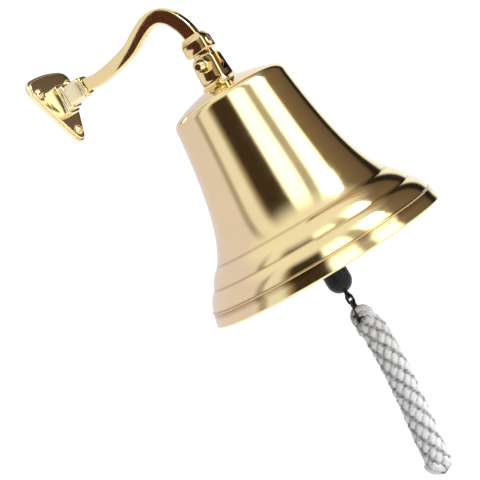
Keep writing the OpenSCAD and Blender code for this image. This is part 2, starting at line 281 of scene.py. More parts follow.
def cut(piece, skin, at=AT_BELL):
    """Takes the volume inside a skin out of a piece."""
    cutter_mesh = new_mesh("cutter", skin, at)
    cutter = new_object("cutter", cutter_mesh)
    boolean = piece.modifiers.new("cut", "BOOLEAN")
    boolean.operation = "DIFFERENCE"
    boolean.solver = "EXACT"
    boolean.object = cutter
    boolean.use_self = True
    bpy.context.view_layer.update()
    graph = bpy.context.evaluated_depsgraph_get()
    uncut = piece.data
    piece.data = bpy.data.meshes.new_from_object(piece.evaluated_get(graph))
    piece.modifiers.clear()
    piece.data.name = piece.name
    bpy.data.objects.remove(cutter)
    bpy.data.meshes.remove(cutter_mesh)
    bpy.data.meshes.remove(uncut)
    shade_smooth(piece.data)


# ---- materials

def new_material(name):
    """A node material, its node tree and its shader node."""
    material = bpy.data.materials.new(name)
    material.use_nodes = True
    return material, material.node_tree, material.node_tree.nodes["Principled BSDF"]


def connect(tree, node, inputs):
    """Links or sets a node's inputs, each given by name or number."""
    for key, value in inputs.items():
        if isinstance(value, bpy.types.NodeSocket):
            tree.links.new(value, node.inputs[key])
        else:
            node.inputs[key].default_value = value


def add(tree, kind, inputs=(), **settings):
    """A node with its settings and its inputs."""
    made = tree.nodes.new(kind)
    for key, value in settings.items():
        setattr(made, key, value)
    connect(tree, made, dict(inputs))
    return made


def ramp(tree, factor, stops):
    """A colour ramp with (place, colour) stops."""
    made = add(tree, "ShaderNodeValToRGB", {"Fac": factor})
    elements = made.color_ramp.elements
    for place, colour in stops[2:]:
        elements.new(place)
    for element, (place, colour) in zip(elements, stops):
        element.position = place
        element.color = (*colour, 1)
    return made.outputs["Color"]


def mix(tree, factor, a, b, blend="MIX"):
    """The mix of two colours, each a colour or a socket."""
    # The node has one set of inputs for each data type; its colours are inputs 6 and 7 and output 2
    made = add(tree, "ShaderNodeMix", {0: factor, 6: a, 7: b}, data_type="RGBA", blend_type=blend)
    return made.outputs[2]


def bumped(tree, height, strength, distance):
    """Normals for a fine relief."""
    return add(tree, "ShaderNodeBump", {
        "Height": height, "Strength": strength, "Distance": distance}).outputs["Normal"]


def map_range(tree, value, low, high, to_low, to_high, **settings):
    """A value moved from one range to another."""
    return add(tree, "ShaderNodeMapRange", {
        "Value": value, "From Min": low, "From Max": high, "To Min": to_low, "To Max": to_high},
        **settings).outputs[0]


def stretched(tree, scale=(1, 1, 1)):
    """Object coordinates in metres, times a scale along each axis."""
    place = add(tree, "ShaderNodeTexCoord").outputs["Object"]
    return add(tree, "ShaderNodeMapping", {"Vector": place, "Scale": scale}).outputs["Vector"]


def noise(tree, vector, scale, detail, rough=0.55):
    """A noise value between 0 and 1."""
    return add(tree, "ShaderNodeTexNoise", {
        "Vector": vector, "Scale": scale, "Detail": detail, "Roughness": rough}).outputs["Fac"]


def shade_level(tree):
    """The grey level that a piece's own points carry: painted shade on the lanyard, tarnish in the bell's
    grooves.
    """
    shade = add(tree, "ShaderNodeVertexColor", layer_name="shade").outputs["Color"]
    return add(tree, "ShaderNodeSeparateColor", {"Color": shade}).outputs["Red"]


def brass(name, colour, rough, grain, bump, grooved=False):
    """Polished brass: cloudy tone, fine polishing lines and dull marks, with tarnish in any grooves."""
    material, tree, shader = new_material(name)
    cloud = noise(tree, stretched(tree), scale=22, detail=5)
    tone = ramp(tree, cloud, [(0.35, tuple(c * 0.94 for c in colour)), (0.65, colour)])
    if grooved:
        tone = mix(tree, shade_level(tree), (*TARNISH, 1), tone)
    lines = noise(tree, stretched(tree, grain), scale=1, detail=3, rough=0.6)
    marks = noise(tree, stretched(tree), scale=140, detail=6, rough=0.7)
    relief = add(tree, "ShaderNodeMath", {0: lines, 1: marks}, operation="ADD").outputs[0]
    connect(tree, shader, {
        "Base Color": tone,
        "Roughness": map_range(tree, marks, 0.3, 0.75, rough * 0.85, rough * 1.5),
        "Normal": bumped(tree, relief, bump, 0.0001),
        "Metallic": 1})
    return material


def black_iron():
    """Black enamel over forged iron, rubbed through to grey in scattered spots."""
    material, tree, shader = new_material("black_iron")
    marks = noise(tree, stretched(tree, (1, 1, 0.6)), scale=420, detail=6, rough=0.7)
    pits = noise(tree, stretched(tree), scale=900, detail=4, rough=0.6)
    connect(tree, shader, {
        "Base Color": ramp(tree, marks, [(0.60, (0.006, 0.006, 0.007)), (0.72, (0.06, 0.06, 0.064))]),
        "Roughness": map_range(tree, pits, 0.3, 0.7, 0.20, 0.42),
        "Normal": bumped(tree, pits, 0.35, 0.0003),
        "Specular IOR Level": 0.22})
    return material


def fibre(name, painted_shade_colour, pale, rough):
    """Twisted fibre: painted shade, darkest where a point lies far down in the lay, and hair-fine lines
    along each yarn.
    """
    material, tree, shader = new_material(name)
    yarn = add(tree, "ShaderNodeUVMap", uv_map="yarn").outputs["UV"]
    hair = add(tree, "ShaderNodeMapping", {"Vector": yarn, "Scale": (14, 60, 1)}).outputs["Vector"]
    hairs = noise(tree, hair, scale=1, detail=4, rough=0.65)
    # Painted shade: points with a low grey level take the dark colour, those on the outside the pale one
    base = ramp(tree, shade_level(tree), [(0.0, painted_shade_colour), (1.0, pale)])
    fleck = ramp(tree, hairs, [(0.34, (0.42, 0.42, 0.42)), (0.58, (1, 1, 1))])
    connect(tree, shader, {
        "Base Color": mix(tree, 1.0, base, fleck, "MULTIPLY"),
        "Normal": bumped(tree, hairs, 0.55, 0.0003),
        "Roughness": rough,
        "Sheen Weight": 0.1,
        "Sheen Roughness": 0.5})
    return material


TARNISH = (0.34, 0.20, 0.07)
# The fine grain's scale along each axis: rings left by turning about Z, or a casting's even grain
TURNING = (3, 3, 2600)
CASTING = (260, 260, 260)
bell_brass = brass("bell_brass", (0.90, 0.76, 0.43), rough=0.10, grain=TURNING, bump=0.03, grooved=True)
inner_brass = brass("inner_brass", (0.62, 0.47, 0.23), rough=0.34, grain=TURNING, bump=0.25)
cast_brass = brass("cast_brass", (0.88, 0.71, 0.38), rough=0.075, grain=CASTING, bump=0.012)
plate_brass = brass("plate_brass", (0.90, 0.80, 0.53), rough=0.10, grain=CASTING, bump=0.03)
turned_brass = brass("turned_brass", (0.90, 0.78, 0.48), rough=0.12, grain=CASTING, bump=0.04)
iron = black_iron()
# Each fibre's painted shade colour for its gaps, and its pale colour
rope_white = fibre("rope_white", painted_shade_colour=(0.012, 0.012, 0.013), pale=(0.82, 0.82, 0.82), rough=0.85)
twine_black = fibre("twine_black", painted_shade_colour=(0.004, 0.004, 0.004), pale=(0.02, 0.02, 0.021), rough=0.6)


# ---- rope and twine

ROPE_R = 8.4
# The rope's route below the bell's axis, as in the CAD: a stiff plait that hangs a little bowed
ROPE_ROUTE = [(1, 0.5, -40), (2.6, 1.2, -50), (2.4, 1.1, -65), (1.6, 0.8, -80),
              (0, 0, -97), (-1.8, -0.9, -112), (-3.2, -1.5, -126), (-4, -1.9, -134)]
ROPE_TOP_Z = -38
ROPE_END_Z = -142.5
route = through([(0.7, 0.35, ROPE_TOP_Z), *ROPE_ROUTE, (-4.3, -2, ROPE_END_Z)], 6)


def rope_centre(z):
    """The point of the rope's centre line at a height."""
    z = np.asarray(z, float)
    return np.stack([np.interp(z, route[::-1, 2], route[::-1, 0]),
                     np.interp(z, route[::-1, 2], route[::-1, 1]), z], -1)


# A rope strand: the sides of its mesh, the yarns that show on it, their twist in radians for each mm, how
# far they stand out, and how far a strand is pressed flat on the plait's outside
STRAND_SIDES = 18
YARNS = 4
YARN_LAY = 1.9
YARN_SWELL = 0.09
STRAND_PRESS = 0.12


def tube(line, radii, sides=STRAND_SIDES, yarns=YARNS, lay=YARN_LAY, start=0.0, outward=None):
    """A strand along a line, and its yarn coordinates; outward directions say where it is pressed flat."""
    radii = np.broadcast_to(radii, len(line))
    t = np.gradient(line, axis=0)
    t /= np.linalg.norm(t, axis=1, keepdims=True)
    run = run_along(line)
    side = np.cross(t[0], (0.3, 0.2, 1) if abs(t[0][2]) < 0.9 else (1, 0, 0))
    rings = []
    uv = []
    a = full_turn(sides)
    for k, p in enumerate(line):
        side = side - t[k] * side.dot(t[k])
        side /= np.linalg.norm(side)
        up = np.cross(t[k], side)
        swell = 1 + YARN_SWELL * np.cos(yarns * (a - start) - lay * run[k]) if yarns else np.ones(sides)
        ring = p + radii[k] * swell[:, None] * (np.cos(a)[:, None] * side + np.sin(a)[:, None] * up)
        if outward is not None:
            ring = ring - np.outer((ring - p) @ outward[k], outward[k]) * STRAND_PRESS
        rings.append(ring)
        twist = lay * run[k] / max(yarns, 1)
        uv.append(np.stack([np.full(sides, run[k] * 0.1), (a - twist) / TAU], 1))
    points, faces = loft(rings)
    return points, faces, np.concatenate(uv)


def make_fibre_piece(name, tubes, painted_shade_of, material, stands_for):
    """One piece of the lanyard from many strands, with a painted shade as a grey level at each point."""
    skin = joined([(points, faces) for points, faces, uv in tubes])
    uv = np.concatenate([uv for points, faces, uv in tubes])
    shades = painted_shade_of(skin[0])
    piece = make_piece(name, skin, material, "lanyard", stands_for, crease=75, shades=shades)
    mesh = piece.data
    corner = np.zeros(len(mesh.loops), np.int32)
    mesh.loops.foreach_get("vertex_index", corner)
    layer = mesh.uv_layers.new(name="yarn")
    layer.data.foreach_set("uv", uv[corner].astype(np.float32).ravel())
    return piece


# The plait is a six-strand spiral sennit: each column of slanting bights winds once round the rope in each
# pitch. A bight is the short length of a strand that shows between two dives into the plait.
COLUMNS = 6
COLUMN_PITCH = 78
PLAIT_TOP_Z = -40.5
PLAIT_LOW_Z = -136.5
BIGHT_STEP = 4.35
BIGHT_HALF_TURN = math.radians(37)
BIGHT_HALF_RISE = 5.6
STRAND_R = 2.45
BIGHT_TOP_R = ROPE_R - STRAND_R * 0.92
BIGHT_DIP = 3.1
CORE_R = 5.4
# The plait's width under the eye and at its end, as shares of the full width
NECK_SHARE = 0.80
END_SHARE = 0.90
# Painted shade: the radii where the plait is painted dark and pale, how far from a column's middle the
# painted shade of a gap starts and is deepest in shares of its width, and how dark it is there
DARK_R = 5.3
PALE_R = 8.1
GAP_START = 0.26
GAP_FULL = 0.44
GAP_DARKNESS = 0.95


def rope_width(z):
    """The plait's radius as a share of the full one: it draws in under the eye and at the end."""
    neck = NECK_SHARE + (1 - NECK_SHARE) * smooth_step(-36, -50, z)
    return neck * (1 - (1 - END_SHARE) * smooth_step(-133, -141, z))


def bight(angle, z, wobble):
    """One bight: it rises out of a gap, arches over its column and dives into the next gap.

    The four wobbles between -1 and 1 vary its slant, height, width and yarns.
    """
    t = np.linspace(-1, 1, 15)
    a = angle + t * BIGHT_HALF_TURN
    height = z + t * BIGHT_HALF_RISE * (1 + 0.08 * wobble[0])
    # It stays high over its middle, then drops off quickly
    r = (BIGHT_TOP_R - BIGHT_DIP * np.abs(t) ** 2.6 + 0.18 * wobble[1]) * rope_width(height)
    out = np.stack([np.cos(a), np.sin(a), np.zeros_like(a)], 1)
    centre = rope_centre(np.clip(height, ROPE_END_Z, ROPE_TOP_Z))
    line = np.column_stack([centre[:, :2], height]) + out * r[:, None]
    radii = STRAND_R * (1 + 0.04 * wobble[2]) * (0.72 + 0.28 * (1 - t * t) ** 0.5)
    return tube(line, radii, start=wobble[3] * math.pi, outward=out)


def rope_painted_shade(points):
    """Painted shade of the rope, from 0 in the gaps between its columns to 1 where a point lies on its
    outside.
    """
    z = points[:, 2]
    away = points[:, :2] - rope_centre(np.clip(z, ROPE_END_Z, ROPE_TOP_Z))[:, :2]
    r = np.linalg.norm(away, axis=1) / rope_width(z)
    column = (np.arctan2(away[:, 1], away[:, 0]) / TAU + z / COLUMN_PITCH) * COLUMNS
    off_column = np.abs(column - np.round(column))
    # Two waves that never line up paint some stretches of a gap's shade darker than others
    uneven = np.sin(1.7 * z + 2.3 * column) * np.sin(0.61 * z - 1.1 * column)
    gap = smooth_step(GAP_START, GAP_FULL, off_column) * (0.70 + 0.30 * uneven)
    return smooth_step(DARK_R, PALE_R, r) * (1 - GAP_DARKNESS * gap)


def make_rope():
    """The plait: six columns of bights over a plain core."""
    rng = np.random.default_rng(7)
    tubes = []
    for column in range(COLUMNS):
        z = PLAIT_TOP_Z - BIGHT_STEP * rng.uniform(0, 0.4) - BIGHT_STEP * (column % 2) / 2
        while z > PLAIT_LOW_Z:
            angle = TAU * (column / COLUMNS - z / COLUMN_PITCH) + 0.05 * rng.uniform(-1, 1)
            tubes.append(bight(angle, z, rng.uniform(-1, 1, 4)))
            z -= BIGHT_STEP
    core_z = np.linspace(ROPE_TOP_Z - 1, ROPE_END_Z + 3.5, 60)
    tubes.append(tube(rope_centre(core_z), CORE_R * rope_width(core_z), sides=20, yarns=0, lay=1))
    # The plait's points carry a painted shade, dark in its gaps and hollows
    return make_fibre_piece("plaited_rope", tubes, rope_painted_shade, rope_white, ["lanyard_rope"])


def rope_end_painted_shade(points):
    """The rope's painted shade, but paler, since the end faces outwards all over."""
    return np.clip(rope_painted_shade(points) + 0.75, 0, 1)


def make_rope_end():
    """The finish of the plait: six strands cross its end and tuck in at the centre."""
    rng = np.random.default_rng(11)
    foot = rope_centre(ROPE_END_Z)
    # The columns' strands run on from their turn at joins_z
    joins_z = -135
    top_z = -133.8
    low_z = ROPE_END_Z + STRAND_R * 0.98
    t = np.linspace(0, 1, 16)
    r = 0.5 + 6 * np.cos(t * math.pi / 2) ** 0.8
    z = top_z + (low_z - top_z) * np.sin(t * math.pi / 2)
    tubes = []
    for k in range(COLUMNS):
        a = TAU * (k / COLUMNS - joins_z / COLUMN_PITCH) + t * math.radians(78)
        line = np.column_stack([foot[0] + r * np.cos(a), foot[1] + r * np.sin(a), z])
        tubes.append(tube(line, STRAND_R * (1.05 - 0.25 * t), start=rng.uniform(0, math.pi)))
    return make_fibre_piece("rope_end", tubes, rope_end_painted_shade, rope_white, ["lanyard_knot"])


# The eye at the rope's top, standing in the arm's plane: its arch's radius and centre height, the share of
# its length that each straight leg takes, and the legs' lengths on the wall's side and the outer side
ARCH_R = 4.6
ARCH_Z = -38.2
LEG_SHARE = 0.16
WALL_LEG = 9
OUTER_LEG = 7
EYE_STRANDS = 3
EYE_STRAND_R = 1.78
EYE_STRAND_SHIFT = 1.55


def eye_painted_shade(points):
    """How far each point of the eye lies from the arch's middle line, as a painted shade from 0 to 1."""
    off_arch = np.hypot(points[:, 0], points[:, 2] - ARCH_Z) - ARCH_R
    return smooth_step(0.6, 2.6, np.hypot(off_arch, points[:, 1]))


def make_rope_eye():
    """Three strands laid together arch over the twine: a thin leg towards the wall and a thick one."""
    rng = np.random.default_rng(3)
    t = np.linspace(0, 1, 44)
    turn = np.pi * (1 - np.clip((t - LEG_SHARE) / (1 - 2 * LEG_SHARE), 0, 1))
    drop = WALL_LEG * np.clip(1 - t / LEG_SHARE, 0, 1) + OUTER_LEG * np.clip(1 - (1 - t) / LEG_SHARE, 0, 1)
    thick = 0.80 + 0.34 * smooth_step(0.25, 0.75, t)
    lift = 0.2 - 0.9 * (1 - smooth_step(0.2, 0.6, t))
    height = ARCH_Z + ARCH_R * np.sin(turn) - drop + lift
    middle = np.column_stack([ARCH_R * np.cos(turn) + 0.3, 0.2 * np.sin(turn), height])
    outward = np.column_stack([np.cos(turn), np.zeros_like(t), np.sin(turn)])
    tubes = []
    for strand in range(EYE_STRANDS):
        a = TAU * (strand / EYE_STRANDS + 0.9 * t)[:, None]
        shift = (np.cos(a) * outward + np.sin(a) * np.array([0, 1, 0])) * EYE_STRAND_SHIFT
        line = middle + shift * thick[:, None]
        tubes.append(tube(line, EYE_STRAND_R * thick, start=rng.uniform(0, math.pi)))
    return make_fibre_piece("rope_eye", tubes, eye_painted_shade, rope_white, ["lanyard_eye"])


def link_line(r, straight, low, steps):
    """The centre line of an upright link in its own plane: across, and height."""
    top = arc_line((0, low + straight), r, 0, 180, steps)
    bottom = arc_line((0, low), r, 180, 360, steps)
    return np.concatenate([top, bottom])


# The twine's loop: its bends' radius, the straight length between them and the lower one's centre height;
# its plies' radius and distance from the loop's line, their turns round it, and the yarns of a ply
LOOP_R = 4.7
LOOP_STRAIGHT = 2.1
LOOP_LOW_Z = -33.6
PLY_R = 0.44
PLY_SHIFT = 0.42
PLY_TURNS = 9
PLY_YARNS = {"sides": 10, "yarns": 3, "lay": 2.5}
KNOT_Z = -30.2
KNOT_PLY_R = 0.62


def no_painted_shade(points):
    """No painted shade: the same full level for every point."""
    return np.ones(len(points))


def make_twine():
    """A loop of two-ply waxed twine through the ring and the rope's eye, with its knot."""
    loop = link_line(LOOP_R, LOOP_STRAIGHT, LOOP_LOW_Z, 40)
    loop = through(np.vstack([loop, loop[:1]]), 2)
    run = run_along(loop)
    # The knot draws the loop's two sides together
    narrow = 1 - 0.55 * smooth_step(-37, -31, loop[:, 1]) * smooth_step(-26.5, -28, loop[:, 1])
    side = np.sign(loop[:, 0] + 1e-6)
    tubes = []
    for ply in range(2):
        a = TAU * (PLY_TURNS * run / run[-1] + ply / 2)
        across = loop[:, 0] * narrow + PLY_SHIFT * np.cos(a) * side
        line = np.column_stack([PLY_SHIFT * np.sin(a), across, loop[:, 1]])
        tubes.append(tube(line, PLY_R, start=ply, **PLY_YARNS))
    t = np.linspace(0, TAU, 40)
    knot = np.column_stack([1.25 * np.cos(2 * t) + 0.1, 1.19 * np.sin(t), KNOT_Z + np.sin(3 * t)])
    tubes.append(tube(knot, KNOT_PLY_R, **PLY_YARNS))
    make_fibre_piece("twine_loop", tubes, no_painted_shade, twine_black, ["lanyard_twine"])


rope = make_rope()
rope_end = make_rope_end()
rope_eye = make_rope_eye()
make_twine()


# ---- bell

# The CAD's wall thickness, the flat top of the inside, and where the crown's foot meets the dome
WALL_T = 3.4
DOME_IN_Z = 115.5
DOME_FOOT_R = 13.2
DOME_FOOT_Z = 121


def bell_profile():
    """The CAD's section of the bell, in (radius, height) points.

    The outside runs up: lip, bead, two rolled bands, waist, shoulder, dome. The inside runs down.
    """
    r = RIM_R
    outside = np.concatenate([
        arc_line((r - 1.2, 1.2), 1.2, -90, 0, 8),
        [(r - 1.1, 4.9), (r - 2.1, 8.15)],
        arc_line((r - 2.2, 8.8), 0.6, -80, 90, 8),
        bulge_line((r - 2.6, 9.5), (r - 9, 19.6), 1, 20),
        bulge_line((r - 9.3, 20.2), (r - 17.4, 30.6), 0.8, 20),
        cubic_line([(r - 18, 31.4), (r - 27.4, 44), (r - 33.5, 66), (r - 38.2, 108)], 70),
        arc_line((r - 44.8, 109), 6.6, 8, 76, 18),
        bulge_line((r - 44, 115.8), (DOME_FOOT_R, DOME_FOOT_Z), 0.5, 14)])
    inside = np.concatenate([
        [(0.6, DOME_IN_Z), (8, DOME_IN_Z)],
        bulge_line((10, 115.2), (r - 45.8, 111.3), -0.4, 8),
        arc_line((r - 46.6, 107.3), 4, 70, 4, 8),
        cubic_line([(r - 38.2 - WALL_T, 104), (r - 34.3 - WALL_T, 66),
                    (r - 27.6 - WALL_T, 43), (r - 16.6 - WALL_T, 29)], 40),
        cubic_line([(r - 16.2 - WALL_T, 28.4), (r - 12, 17), (r - 7.6, 9), (r - 5.6, 0.8)], 20),
        [(r - 5.2, 0.2), (r - 4.8, 0)]])
    return outside, inside


# Each groove's height and how far its tarnish reaches up and down
GROOVES = ((9.2, 0.5), (19.9, 0.45), (31.0, 0.5), (8.1, 0.35))
BELL_SIDES = 288


def make_bell():
    """The bell's turned body, tarnished in its grooves and duller inside."""
    outside, inside = bell_profile()
    top = [(DOME_FOOT_R - 0.3, DOME_FOOT_Z - 0.5), (0.6, DOME_FOOT_Z - 0.5)]
    skin = turned(np.concatenate([inside, outside, top]), BELL_SIDES)
    z = skin[0][:, 2]
    shades = np.ones(len(z))
    for height, reach in GROOVES:
        shades -= 0.75 * np.exp(-(((z - height) / reach) ** 2))
    shades[: len(inside) * BELL_SIDES] = 1
    piece = make_piece("bell_body", skin, bell_brass, "bell", ["bell_shell"], shades=shades)
    piece.data.materials.append(inner_brass)
    for face in piece.data.polygons:
        if max(face.vertices) < (len(inside) - 1) * BELL_SIDES:
            face.material_index = 1


# ---- crown fork and head

# The CAD's post with its slot and ears, pivot, head and arm section; W runs along X and D along Y
POST_W = 15.4
POST_D = 12.4
SLOT_W = 5
SLOT_FLOOR = 127.5
EAR_TOP = 140.9
EAR_CORNER_R = 4.6
PIVOT_Z = 135
PIVOT_R = 2.5
HEAD_W = 15.6
HEAD_D = 12.4
HEAD_LOW = 142.2
HEAD_SHOULDER = 149.8
HEAD_TOP = 153.5
SOCKET_WALL = 1.4
TONGUE_R = 6
FLARE_R = 6
EDGE_R = 1.2
SIDE_BOW = 0.35
ARM_H = 9
ARM_W = 6


def make_crown():
    """The fork on the bell's top: a post that flares into the dome, slotted into two round-topped ears."""
    # The foot starts inside the dome
    foot_w = 2 * DOME_FOOT_R - 4
    rings = [flat_ring(bowed_rect(foot_w, foot_w, 0.49 * foot_w, 0), DOME_FOOT_Z - 1.5)]
    for share in np.linspace(0, 1, 19):
        # The flare goes from round to square as it rises
        a = share * math.pi / 2
        r = DOME_FOOT_R - FLARE_R * math.sin(a) + 0.1
        square = smooth_step(0, 0.85, share)
        half_w = max(r, POST_W / 2)
        half_d = max(r, POST_D / 2)
        corner = 0.98 * min(half_w, half_d) * (1 - square) + EDGE_R * square
        z = DOME_FOOT_Z - 0.15 + FLARE_R * (1 - math.cos(a))
        rings.append(flat_ring(bowed_rect(2 * half_w, 2 * half_d, corner, SIDE_BOW * square), z))
    for a in np.radians(np.linspace(0, 84, 14)):
        inset = EAR_CORNER_R * (1 - math.cos(a))
        edge = 0.8 * smooth_step(0.6, 1.0, math.sin(a))
        outline = bowed_rect(POST_W - 2 * inset - edge, POST_D - 2 * edge, EDGE_R, SIDE_BOW)
        rings.append(flat_ring(outline, EAR_TOP - EAR_CORNER_R * (1 - math.sin(a))))
    crown = make_piece("crown_fork", loft(rings), cast_brass, "bell")
    slot = [(x * POST_W, y * SLOT_W / 2) for x, y in SQUARE]
    cut(crown, loft([flat_ring(slot, SLOT_FLOOR), flat_ring(slot, EAR_TOP + 5)]))


def tongue_outline(inset):
    """The tongue's outline in the arm's plane: straight sides down from the head, and a round end."""
    r = TONGUE_R - inset
    top = HEAD_LOW + 1
    return np.concatenate([[(r, top)], arc_line((0, PIVOT_Z), r, 0, -180, 24), [(-r, top)]])


def make_head():
    """The head on the arm's end: sloping shoulders, and the tongue that the bolt goes through."""
    rings = []
    for a in np.radians(np.linspace(0, 90, 6)):
        inset = 1 - math.sin(a)
        outline = bowed_rect(HEAD_W - 2 * inset, HEAD_D - 2 * inset, EDGE_R, SIDE_BOW)
        rings.append(flat_ring(outline, HEAD_LOW + 1 - math.cos(a)))
    low = HEAD_SHOULDER - 0.6
    for t in np.linspace(0, 1, 12):
        # The shoulder turns over smoothly, then slopes in to the arm
        w = HEAD_W + (ARM_H + 2 * SOCKET_WALL - HEAD_W) * t**1.3
        d = HEAD_D + (ARM_W + 2 * SOCKET_WALL - HEAD_D) * t**1.3
        rings.append(flat_ring(bowed_rect(w, d, EDGE_R, SIDE_BOW * (1 - t)), low + (HEAD_TOP - low) * t))
    half = (SLOT_W - 0.6) / 2
    tongue = loft([flat_ring(tongue_outline(inset), y)[:, (0, 2, 1)]
                   for y, inset in rounded_levels(-half, half, 0.5)])
    make_piece("head_block", joined([loft(rings), tongue]), cast_brass, "bracket",
               ["arm_head"])


def dome_profile(r, h):
    """(radius, height) points of a low dome from its foot to its top."""
    ball = (r * r + h * h) / (2 * h)
    foot = math.asin(r / ball)
    return [(max(ball * math.sin(a), 0.02), h - ball * (1 - math.cos(a))) for a in np.linspace(foot, 0, 12)]


RIVET_Z = 146.5
RIVET_HEAD_R = 3.4
RIVET_HEAD_H = 1.2


def make_rivet():
    """A peened cross rivet: a low dome on each side of the head."""
    profile = [(RIVET_HEAD_R - 0.1, -0.6), (RIVET_HEAD_R, 0), *dome_profile(RIVET_HEAD_R, RIVET_HEAD_H)]
    points, faces = turned(profile, 48)
    across, up, out = points.T
    parts = [(np.column_stack([side * (HEAD_W / 2 + out), across, RIVET_Z + up]), faces)
             for side in (-1, 1)]
    make_piece("cross_rivet", joined(parts), turned_brass, "bracket", ["head_rivet"])


# ---- bolts and nuts

def hexagon(across):
    """Points along the sides of a hexagon of a width across its flats."""
    corners = circle(across / 2 / math.cos(math.pi / 6), 6)
    return np.concatenate([a + (b - a) * np.arange(6)[:, None] / 6
                           for a, b in zip(corners, np.roll(corners, -1, axis=0))])


def hex_body(across, thick, bore):
    """A hexagon with chamfered faces; a nut when it has a bore, or else a bolt's head."""
    flat = across / 2 * 0.97
    outline = hexagon(across)
    r = np.linalg.norm(outline, axis=1)
    chamfer = (r - flat) * math.tan(math.radians(30))
    low = np.column_stack([outline, chamfer])
    high = np.column_stack([outline, thick - chamfer])

    def on_circle(radius, z):
        return flat_ring(outline / r[:, None] * radius, z)

    if not bore:
        return loft([on_circle(flat, 0), low, high, on_circle(flat, thick), on_circle(flat / 2, thick)])
    edge = 0.4
    return loft([on_circle(bore, edge), on_circle(bore + edge, 0), on_circle(flat, 0), low, high,
                 on_circle(flat, thick), on_circle(bore + edge, thick), on_circle(bore, thick - edge)],
                loop=True)


def threaded(r, low, high, pitch):
    """A threaded length along Z with a chamfered end at its low side."""
    a = full_turn(40)
    rings = []
    for z in np.linspace(low, high, int((high - low) / pitch * 8) + 1):
        wave = np.abs(((z / pitch - a / TAU) % 1) * 2 - 1)
        chamfer = max(0, 0.6 - (z - low))
        radius = np.minimum(r - 0.55 * pitch * wave, r - chamfer)
        rings.append(flat_ring(np.column_stack([radius * np.cos(a), radius * np.sin(a)]), z))
    return loft(rings)


def along_y(skin, y, z):
    """A skin drawn along +Z turned to stand along Y at a height."""
    points, faces = skin
    return np.stack([points[:, 0], y + points[:, 2], z + points[:, 1]], 1), faces


# An M5 bolt, its nut and its washer
BOLT_LENGTH = 22
BOLT_HEAD_H = 3.5
BOLT_PITCH = 0.8
NUT_W = 8
NUT_T = 4
WASHER_R = 5
WASHER_T = 1
HEX_CREASE = 28


def washer_skin(outer, inner, thick):
    """A washer with its edges broken."""
    section = [(outer, 0.15), (outer - 0.15, 0), (inner + 0.15, 0), (inner, 0.15)][::-1]
    return turned(section + [(r, thick - z) for r, z in section[::-1]], 64, loop=True)


def make_pivot():
    """The pivot bolt along Y: a chamfered head and washer on the far ear, a nut on the near ear."""
    ear = POST_D / 2
    under_head = ear + WASHER_T
    head = along_y(hex_body(NUT_W, BOLT_HEAD_H, 0), under_head, PIVOT_Z)
    shank = along_y(threaded(PIVOT_R, under_head - BOLT_LENGTH, under_head, BOLT_PITCH), 0, PIVOT_Z)
    washer = along_y(washer_skin(WASHER_R, PIVOT_R, WASHER_T), ear, PIVOT_Z)
    nut = along_y(hex_body(NUT_W, NUT_T, PIVOT_R), -ear - NUT_T, PIVOT_Z)
    make_piece("pivot_bolt_turned", joined([head, shank]), turned_brass, "bell",
               ["pivot_bolt"], crease=HEX_CREASE)
    make_piece("pivot_washer_turned", washer, turned_brass, "bell", ["pivot_washer"])
    make_piece("pivot_nut_turned", nut, turned_brass, "bell", ["pivot_nut"],
               crease=HEX_CREASE)


# ---- arm and wall plate

# The arm's size at the wall as a share of its size at the head
ARM_TAPER = 0.9
ARM_CORNER_R = 1.1
COLLAR_LOW_X = 23
COLLAR_HIGH_X = 25.4
COLLAR_W = 8.8
COLLAR_H = 12
# The arm's route, as in the CAD: distance from the wall and height above the plate's centre
ARM_ROUTE = [(COLLAR_HIGH_X, 0), (36, -1.6), (50, -0.8), (64, 1.7), (74, 5.8), (83, 8.8), (91, 8.6),
             (97.5, 4), (101.5, -3), (103.2, -8), (BELL_X, HEAD_TOP + RIM_Z)]


def make_arm():
    """The swan-neck arm: one bar swept along its route, thickening towards the head."""
    line = through(ARM_ROUTE, 14)
    line = np.vstack([line, [(BELL_X, line[-1][1] - 3)]])
    last = len(line) - 1
    tangent = np.gradient(line, axis=0)
    tangent /= np.linalg.norm(tangent, axis=1, keepdims=True)
    tangent[0], tangent[-1] = (1, 0), (0, -1)
    outline = round_rect(ARM_H, ARM_W, ARM_CORNER_R)
    rings = []
    for k, ((x, z), (run, rise)) in enumerate(zip(line, tangent)):
        high, wide = outline.T * (ARM_TAPER + (1 - ARM_TAPER) * min(1, 2 * k / last))
        rings.append(np.column_stack([x - rise * high, -wide, z + run * high]))
    # The arm runs on into the collar
    rings.insert(0, rings[0] - np.array([3, 0, 0]))
    make_piece("swan_neck", loft(rings), cast_brass, "bracket", ["bracket_arm"],
               at=AT_PLATE)


# The CAD's plate: its screw circle, outline, thickness, stepped edge, boss corners and the recess behind
SCREW_CIRCLE_R = 19.5
PLATE_W = 46
PLATE_LOW = 26.8
CORNER_R = 7.5
POINT_R = 5.5
PLATE_T = 3.5
STEP_X = 2
STEP_INSET = 1.3
BOSS_CORNER_R = 2.5
RECESS_R = 4.9
RECESS_DEPTH = 7
# The boss's three steps, each (distance from the wall, width, height)
BOSS_STEPS = [(8.7, 12.4, 20), (12.3, 11, 16.4), (23, 9.6, 13.4)]
# Corners of the plate, each (across, up, radius), and how far each side after them bows out, as in the CAD
PLATE_CORNERS = [(0, POINT_R - PLATE_LOW, POINT_R), (PLATE_W / 2 - CORNER_R, 12, CORNER_R),
                 (CORNER_R - PLATE_W / 2, 12, CORNER_R)]
SIDE_BOWS = (0.5, 1.3, 0.5)


def plate_chord(k):
    """The direction that a side of the plate faces, and the angle at which its bow meets the corners."""
    (ax, ay, ar), (bx, by, br) = PLATE_CORNERS[k], PLATE_CORNERS[(k + 1) % 3]
    gap = math.hypot(bx - ax, by - ay)
    faces = math.degrees(math.atan2(by - ay, bx - ax)) - 90 + math.degrees(math.asin((ar - br) / gap))
    return faces, math.degrees(math.atan(4 * SIDE_BOWS[k] / gap))


